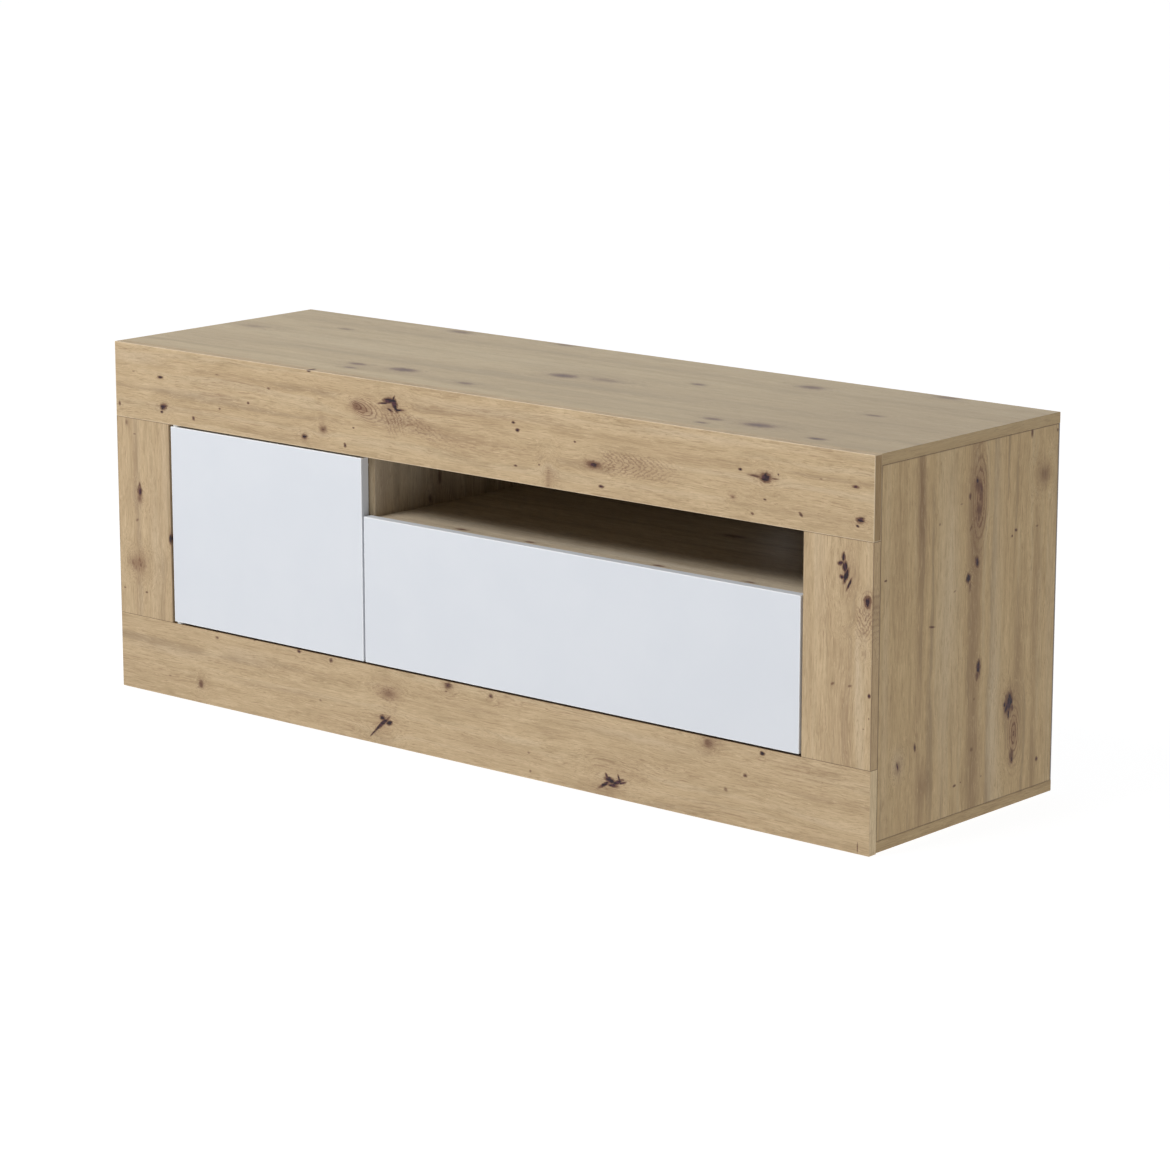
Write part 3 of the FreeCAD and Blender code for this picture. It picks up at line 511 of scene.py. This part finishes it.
S_RAIL_TOP = [
    (-140, 510, 26, 11, 0.42), (-85, 507, 55, 8, 0.34), (-10, 498, 80, 5, 0.30), (325, 498, 62, 14, 0.30), (246, 490, 24, 5, 0.45),
    (178, 462, 15, 9, 0.35), (164, 459, 4, 13, 0.45), (-292, 482, 6, 14, 0.25), (556, 511, 26, 3.6, 0.50),
    (-600, 472, 90, 6, 0.22), (-460, 530, 130, 6, 0.25), (-380, 454, 90, 6, 0.28), (650, 470, 90, 6, 0.22),
    (-700, 545, 60, 10, -0.30), (40, 545, 160, 8, -0.25), (420, 555, 120, 7, -0.22), (-560, 500, 120, 7, -0.22)]
F_RAIL_TOP = [(262, 497, 0, 160, 20, 10.5, 6.4, 0.52), (-148, 524, 66, 46, 24, 60, 6.6, 0.62), (-128, 516, 18, 120, 15, 34, 6.6, 0.46)]
K_RAIL_BOT = [
    (-569, 33, 4, 4.4, 0, 0.62, 0.6), (-530, 115, 2.6, 1.8, 0, 0.58, 0.2), (-349, 121, 2.6, 1.6, 0, 0.85, 0.2),
    (-280, 118, 2.8, 2.4, 0, 0.66, 0.3), (-168, 38, 14, 9, -45, 0.20, 0.6), (-159, 85, 12, 6, 0, 0.36, 0.8),
    (-36, 118, 5.5, 3.4, 0, 0.70, 0.5), (50, 116, 3.2, 2.2, 0, 0.72, 0.3), (286, 26, 24, 9, -20, 0.14, 0.5),
    (462, 115, 6, 5, 0, 0.46, 0.7, 0.4), (562, 117, 3.2, 2, 0, 0.9, 0.3), (532, 80, 2.6, 2, 0, 0.70, 0.2)]
D_RAIL_BOT = [
    (-178, 32, 15, 1.7, -47, 1.0), (-169, 38, 12, 2.0, -42, 1.0), (-172, 45, 5, 3.6, 10, 0.85), (-158, 39, 5, 2.8, -14, 0.95),
    (-192, 18, 7, 1.1, -44, 0.9), (-447, 124, 2, 1, 0, 0.6), (-304, 51, 2.4, 1.6, 0, 0.4), (-40, 108, 2.2, 1.1, 0, 0.45),
    (125, 42, 2.6, 1.8, 0, 0.42), (128, 14, 2, 2, 0, 0.42), (497, 53, 3.2, 2.8, 0, 0.42), (272, 20, 11, 2, -32, 0.95),
    (282, 28, 8, 3.6, 10, 1.0), (296, 27, 9, 2.6, -28, 1.0), (276, 33, 4, 2, 60, 0.85), (299, 34, 4.4, 1.4, 70, 0.9),
    (306, 28, 6, 1.5, -18, 0.9), (288, 21, 8, 2, 0, 0.95), (730, 12, 1, 7, 0, 0.5), (-640, 36, 3, 1, 0, 0.4)]
S_RAIL_BOT = [
    (-160, 86, 22, 9, 0.40), (-155, 106, 34, 6, 0.25), (-38, 115, 13, 7, 0.35), (475, 118, 26, 7, 0.40), (-430, 51, 140, 5, 0.28),
    (20, 92, 70, 4, 0.28), (278, 12, 26, 9, 0.30), (640, 106, 90, 7, 0.22), (165, 78, 26, 7, 0.22), (-569, 36, 14, 12, 0.25),
    (60, 35, 120, 8, 0.20), (-170, 18, 18, 9, 0.30), (-470, 95, 70, 12, -0.22), (330, 100, 110, 9, -0.20), (-640, 75, 100, 7, -0.22)]
K_STILE_L = [(328, -700, 6.5, 3.6, 0, 0.95, 0.5), (317, -701, 6, 4.4, 0, 0.46, 0.6), (210, -707, 8, 10, 0, 0.20, 0.8),
             (260, -632, 6, 2, 0, 0.85, 0.5)]
D_STILE_L = [(338, -700, 4, 2, 0, 0.7), (281, -707, 2, 3.6, 30, 0.42), (166, -740, 1.5, 2.2, 0, 0.5), (165, -690, 1.4, 2.2, 0, 0.6),
             (420, -709, 1, 2.6, 0, 0.42), (208, -702, 3, 2, 0, 0.45), (437, -727, 5, 3, 0, 0.4)]
S_STILE_L = [(390, -709, 80, 7, 0.50), (270, -705, 90, 8, 0.42), (210, -709, 12, 11, 0.45), (438, -724, 12, 9, 0.40),
             (160, -706, 60, 8, 0.22), (230, -631, 46, 4, 0.45), (370, -640, 120, 10, -0.22), (250, -668, 120, 14, -0.2)]
K_STILE_R = [(404, 702, 18, 7, 0, 0.22, 0.4), (361, 741, 5.5, 3.8, 0, 1.0, 0.9, 0.0, 5.0), (316, 735, 3, 7, 0, 0.26, 0.4), (288, 736, 4, 4, 0, 0.24, 0.4)]
D_STILE_R = [(418, 699, 5, 2.6, 0, 0.9), (409, 694, 2.4, 4, 20, 0.95), (405, 702, 6, 3.4, 0, 1.0), (393, 704, 9, 2.8, -18, 1.0),
             (390, 697, 2.6, 4, 0, 0.85), (381, 709, 8, 1.5, -26, 0.95), (238, 683, 2, 3, 30, 0.48), (239, 713, 1.6, 3.4, 20, 0.44),
             (230, 746, 2.4, 1.8, 0, 0.9), (198, 746, 1.6, 1, 0, 0.6), (182, 737, 1, 1.6, 0, 0.4), (400, 719, 10, 1, 0, 0.34)]
S_STILE_R = [(395, 718, 22, 10, 0.28), (352, 741, 20, 9, 0.36), (375, 708, 18, 7, 0.30), (250, 700, 120, 12, 0.16), (150, 712, 50, 8, 0.22),
             (300, 640, 110, 9, 0.14), (330, 722, 26, 8, 0.20), (270, 728, 90, 6, -0.30), (420, 660, 90, 14, -0.15)]
F_STILE_R = [(354, 736, 180, 60, 17, 9, 6, 0.6)]
K_SIDE_R = [
    (487, 22, 9, 5.5, 20, 0.62, 0.9), (452, 24, 8, 5, 0, 0.60, 0.9), (470, 26, 26, 7, 0, 0.20, 1.0, 0.0, 9.0), (379, 22, 5, 3.2, 0, 1.0, 0.4),
    (358, 2, 4.6, 3.8, -20, 1.0, 0.4), (225, 31, 7, 3.4, 0, 1.0, 0.4), (157, 108, 12, 7, -8, 0.85, 0.8), (110, 122, 17, 6.5, 0, 0.28, 1.0, 0.0, 9.0),
    (78, 118, 8, 4.4, 0, 0.62, 0.7), (117, -158, 8, 6, 0, 0.36, 0.6), (480, 186, 10, 8, 20, 0.34, 0.4)]
D_SIDE_R = [
    (494, 19, 4, 2.4, 30, 0.85), (484, 28, 7, 1.6, 14, 0.75), (475, 2, 4, 2.4, 0, 0.66), (473, 30, 10, 1.4, 0, 0.6), (441, 24, 5, 2, 0, 0.6),
    (213, 28, 6, 4, 0, 0.62), (164, 112, 9, 2.6, 24, 1.0), (153, 104, 8, 3.4, -30, 1.0), (142, 108, 6, 1.8, 0, 0.9), (157, 98, 3, 2.4, 0, 0.9),
    (150, 117, 5, 2, 10, 0.8), (72, 119, 5, 2.4, 0, 0.7), (118, -159, 5, 1.6, 14, 0.9), (137, -119, 5, 2.2, 12, 0.7), (303, -83, 1.4, 5, -10, 0.7),
    (345, -30, 1.4, 3, 20, 0.42), (387, -193, 1.2, 2.4, 0, 0.66), (446, -69, 2, 2, 0, 0.42), (545, 151, 7, 2.2, 0, 0.62), (409, 116, 1.8, 2.8, -20, 0.7),
    (402, 107, 1.6, 1.6, 0, 0.7), (407, 169, 1.4, 2.8, 0, 0.45), (60, 182, 2.8, 2.6, 0, 0.75), (62, -22, 1.6, 3, 0, 0.62), (64, -7, 1.3, 1.6, 0, 0.5),
    (467, -18, 1, 3.4, 0, 0.42), (63, 43, 1.4, 1.6, 0, 0.4), (540, 215, 2.2, 1.6, 0, 0.6), (180, 22, 2.4, 2.4, 0, 0.4), (107, 18, 3, 3, 0, 0.4),
    (430, 6, 5, 2, -30, 0.45), (346, 6, 8, 3, 0, 0.42)]
S_SIDE_R = [
    (490, -112, 95, 11, 0.62), (300, -112, 200, 9, 0.24), (60, -105, 60, 12, 0.36), (80, -93, 20, 14, 0.35), (420, -165, 150, 24, 0.16),
    (300, -45, 260, 26, -0.42), (290, 18, 330, 13, 0.50), (450, 12, 110, 16, 0.25), (60, 30, 80, 16, 0.25), (300, 66, 300, 11, -0.30),
    (230, 128, 90, 9, 0.45), (480, 185, 20, 10, 0.50), (330, 170, 200, 11, 0.30), (110, 72, 130, 18, -0.40), (290, 205, 260, 9, -0.20),
    (60, 170, 60, 8, 0.35), (150, 116, 36, 14, 0.20), (130, -35, 120, 8, 0.20), (120, -160, 24, 12, -0.35), (300, -190, 280, 10, -0.25)]
K_SIDE_L = [(430, -60, 12, 4, 0, 0.95, 0.9), (300, 90, 16, 6, 8, 0.8, 1.0), (140, -120, 8, 4, 0, 0.95, 0.6),
            (210, 160, 4, 2.4, 0, 0.8, 0.3), (90, 20, 22, 7, 0, 0.35, 0.9, 0.5, 12), (490, 130, 3, 2, 0, 0.8, 0.3),
            (250, -170, 2, 2, 0, 0.8, 0.1), (380, 40, 3, 2, 0, 0.8, 0.1)]
S_SIDE_L = [(300, -60, 300, 14, 0.45), (280, 92, 200, 12, 0.35), (300, 20, 260, 22, -0.35), (200, -130, 200, 16, 0.25), (350, 170, 260, 12, -0.3)]
K_TOP = [
    (-303, -131, 13, 6, 0, 0.50, 0.7), (-288, -162, 11, 5, 0, 0.44, 0.6), (-212, -125, 17, 9, 0, 0.62, 0.9), (-58, -155, 13, 6, 0, 0.46, 0.6),
    (-690, 30, 22, 8, 0, 0.30, 0.6), (-557, 105, 15, 6, 0, 0.40, 0.4), (-395, 203, 20, 8, 0, 0.44, 0.6), (8, -8, 17, 9, 0, 0.64, 0.9),
    (85, 2, 26, 9, 0, 0.34, 0.7), (355, 152, 17, 9, 0, 0.52, 0.7), (212, 64, 11, 6, 0, 0.50, 0.5), (410, -148, 13, 6, 0, 0.50, 0.7),
    (490, -145, 17, 9, 0, 0.64, 0.9), (615, -175, 11, 5, 0, 0.66, 0.6), (567, 22, 13, 5, 0, 0.46, 0.5), (560, 210, 18, 7, 0, 0.44, 0.5),
    (-180, 213, 20, 7, 0, 0.40, 0.5), (415, -180, 9, 4, 0, 0.50, 0.5)]
# the first streak browns the right end of the top: partly wood tone, partly painted fall-off of the sheen towards the
# right
S_TOP = [(640, 0, 300, 400, 0.21), (-600, 92, 40, 8, 0.25), (-200, -140, 90, 14, 0.22), (40, 5, 90, 14, 0.18), (500, -150, 90, 14, 0.22),
         (-450, 0, 200, 40, -0.15), (-100, 60, 160, 30, -0.12), (-400, 140, 30, 10, 0.2), (355, 100, 26, 12, 0.2), (165, 45, 26, 10, 0.2),
         (200, -60, 200, 24, 0.10), (-650, -120, 140, 30, 0.12)]
K_DIV = [(392, -60, 9, 3.4, 0, 0.46, 0.5), (361, -82, 6, 3.4, 0, 0.42, 0.5), (250, 60, 14, 6, 0, 0.8, 0.8)]
S_DIV = [(400, -185, 90, 12, 0.4), (400, -60, 200, 30, 0.3)]
K_SHELF = [(-38, -186, 9, 3, 0, 0.62, 0.6), (99, -188, 8, 3, 0, 0.58, 0.5), (346, -190, 8, 3, 0, 0.58, 0.5),
           (513, -190, 8, 3, 0, 0.5, 0.5), (300, 40, 16, 6, 0, 0.5, 0.8)]
S_SHELF = [(200, -120, 400, 20, 0.3), (0, 60, 400, 40, 0.2)]
K_FLOOR = [(-300, -60, 18, 6, 0, 0.8, 0.9), (250, 30, 16, 6, 0, 0.8, 0.8), (520, -120, 9, 4, 0, 0.8, 0.5)]

BAND = (0.93, 0.88, 0.79)

make_camera()
# the top rail's arrises carry a painted highlight
give(oak("oak_rail_top", "XZY", "ZYX", K_RAIL_TOP, 1.0, figure=0.5, end_tone=(0.645, 0.565, 0.42), streaks=S_RAIL_TOP,
         dots=D_RAIL_TOP, flames=F_RAIL_TOP, arris_highlight=("front_rail_top", 0.45)), "front_rail_top")
# the upward face of the bottom rail is darkened: painted shade in the gap under the door and flap
give(oak("oak_rail_bottom", "XZY", "ZYX", K_RAIL_BOT, 2.3, figure=0.45, end_tone=(1.26, 1.31, 1.31), streaks=S_RAIL_BOT,
         dots=D_RAIL_BOT, faces=[("Z", 1.0, (0.34, 0.28, 0.23))]), "front_rail_bottom")
give(oak("oak_stile_left", "ZXY", "XYZ", K_STILE_L, 3.1, figure=0.4, streaks=S_STILE_L, dots=D_STILE_L,
         joint=("front_stile_left", 1.6, 0.55), faces=[("X", -1.0, BAND)]), "front_stile_left")
give(oak("oak_stile_right", "ZXY", "XYZ", K_STILE_R, 4.7, figure=0.45, streaks=S_STILE_R, dots=D_STILE_R,
         flames=F_STILE_R, joint=("front_stile_right", 1.6, 0.55), faces=[("X", 1.0, BAND)]), "front_stile_right")
SIDE = (1.0, 0.96, 0.82)
give(oak("oak_side_right", "ZYX", "YXZ", K_SIDE_R, 5.2, shade=SIDE, figure=0.35, bands=(20.0, 1.7), streaks=[(*k[:4], k[4] * 1.45) for k in S_SIDE_R],
         dots=D_SIDE_R, joint=("side_panel_right", 2.2, 0.62)), "side_panel_right")
give(oak("oak_side_left", "ZYX", "YXZ", K_SIDE_L, 6.6, shade=SIDE, figure=0.35, bands=(20.0, 1.7), streaks=S_SIDE_L,
         joint=("side_panel_left", 2.2, 0.62)), "side_panel_left")
# the downward face of the top is tinted lighter and bluer: painted light in the niche and cupboard
give(oak("oak_top", "XYZ", "YZX", K_TOP, 7.4, figure=0.15, bands=(40.0, 0.6), rough=0.36, streaks=S_TOP, soft=0.6,
         shade=(0.955, 0.975, 0.88), end_tone=(0.83, 0.765, 0.68), faces=[("Z", -1.0, (1.15, 1.30, 1.75))]),
     "top_panel")
give(oak("oak_bottom", "XYZ", "YZX", K_FLOOR, 8.9, figure=0.4, end_tone=(0.90, 0.86, 0.72)), "bottom_panel")
# painted light: the divider and niche shelf are tinted lighter and bluer so the shaded niche looks neutral, not the
# wood's own tone
INNER_SHADE_TINT = (1.10, 1.26, 1.58)
# the divider's front edge is darkened: painted shadow of the door's edge
give(oak("oak_divider", "ZYX", "YXZ", K_DIV, 9.5, figure=0.4, shade=INNER_SHADE_TINT, streaks=S_DIV,
         faces=[("Y", -1.0, (0.58, 0.54, 0.47))]), "divider")
give(oak("oak_shelf", "XYZ", "YZX", K_SHELF, 10.2, figure=0.3, shade=INNER_SHADE_TINT, streaks=S_SHELF), "niche_shelf")
give(oak("oak_floor", "XYZ", "YZX", K_FLOOR, 11.8, figure=0.5), "cabinet_floor")
give(oak("oak_inner_shelf", "XYZ", "YZX", [], 12.6, figure=0.5), "cupboard_shelf")
give(oak("oak_ribs", "YZX", "ZXY", [], 13.7, figure=0.5), "plinth_ribs")
give(white_front("door_panel"), "door_panel")
give(white_front("flap_panel"), "flap_panel")
give(back_board(), "back_panel")
STEEL = metal("zinc_plated_steel", (0.72, 0.73, 0.75), 0.30)
ZINC = metal("die_cast_zinc", (0.60, 0.61, 0.63), 0.42, (1 / 1.5, 1 / 1.5, 1 / 1.5), 0.2)
NYLON = plastic("nylon", (0.74, 0.73, 0.70), 0.42)
RUBBER = plastic("soft_bumper", (0.62, 0.63, 0.64), 0.30, 1.2)
give(ZINC, "cam_locks")
give(beech(), "carcass_dowels", "frame_dowels")
give(NYLON, "floor_glides", "door_pivot_bushes", "latch_housings", "door_latch_plunger", "flap_latch_plunger")
give(RUBBER, "door_bumpers", "flap_bumpers")
STEEL_NODES = ["cam_bolts", "bottom_screws", "divider_screws", "frame_brackets", "bracket_screws",
               "back_screws", "shelf_pins", "door_pivot_pins", "flap_hinge_screws",
               "flap_hinge_brackets", "flap_hinge_pins", "stay_shelf_screws", "stay_shelf_brackets",
               "stay_shelf_rivets", "stay_upper_arms", "stay_lower_arms", "stay_flap_screws",
               "stay_flap_brackets", "stay_flap_rivets", "latch_screws", "door_strike_plate",
               "flap_strike_plate"]
give(STEEL, *STEEL_NODES)


# --------------------------------------------------------------- the stage
def floor():
    me = bpy.data.meshes.new("floor")
    r = 90.0
    me.from_pydata([(-r, -r, 0), (r, -r, 0), (r, r, 0), (-r, r, 0)], [], [(0, 1, 2, 3)])
    o = bpy.data.objects.new("floor", me)
    scene.collection.objects.link(o)
    m, t, bsdf = material("floor")
    bsdf.inputs["Base Color"].default_value = (FLOOR_ALBEDO, FLOOR_ALBEDO, FLOOR_ALBEDO, 1)
    bsdf.inputs["Roughness"].default_value = 0.9
    bsdf.inputs["Specular IOR Level"].default_value = 0.1
    bsdf.inputs["Emission Color"].default_value = (1, 1, 1, 1)
    bsdf.inputs["Emission Strength"].default_value = FLOOR_GLOW
    me.materials.append(m)


def area(name, loc, target, size, watts, colour=(1, 1, 1)):
    d = bpy.data.lights.new(name, "AREA")
    d.shape, d.size, d.size_y = "RECTANGLE", size[0], size[1]
    d.energy, d.color = watts, colour
    o = bpy.data.objects.new(name, d)
    o.location = loc
    o.rotation_mode = "QUATERNION"
    o.rotation_quaternion = (Vector(target) - Vector(loc)).to_track_quat("-Z", "Y")
    scene.collection.objects.link(o)


def world():
    """A dim room with a pale wall behind and to the left, and a pale ceiling."""
    w = bpy.data.worlds.new("studio")
    scene.world = w
    w.use_nodes = True
    w.node_tree.nodes.clear()
    t = Tree(w.node_tree)
    d = t.new("ShaderNodeTexCoord").outputs["Generated"]
    z = t.split(d)[2]
    wall = t.math("MULTIPLY", t.ramp(t.vec("DOT_PRODUCT", d, (-0.652, 0.758, 0.0)), 0.15, 0.80),
                  t.ramp(z, 0.62, 0.20))
    up = t.ramp(z, 0.35, 0.95)
    glow = t.math("ADD", t.math("MULTIPLY", wall, WALL), t.math("MULTIPLY_ADD", up, CEILING, ROOM))
    bg = t.new("ShaderNodeBackground")
    t.put(bg.inputs["Color"], t.vec("SCALE", (0.97, 1.0, 1.04), scale=glow))
    out = t.new("ShaderNodeOutputWorld")
    w.node_tree.links.new(bg.outputs[0], out.inputs[0])


FLOOR_GLOW = 0.94
FLOOR_ALBEDO = 0.16
WALL, CEILING, ROOM = 1.0, 0.33, 0.06
floor()
world()
area("key", (-1.21, -3.32, 4.49), (0.0, 0.0, 0.28), (3.0, 2.2), 193.0)
scene.view_settings.view_transform = "Standard"
scene.view_settings.look = "None"
scene.view_settings.exposure = 0.0
scene.view_settings.gamma = 1.0
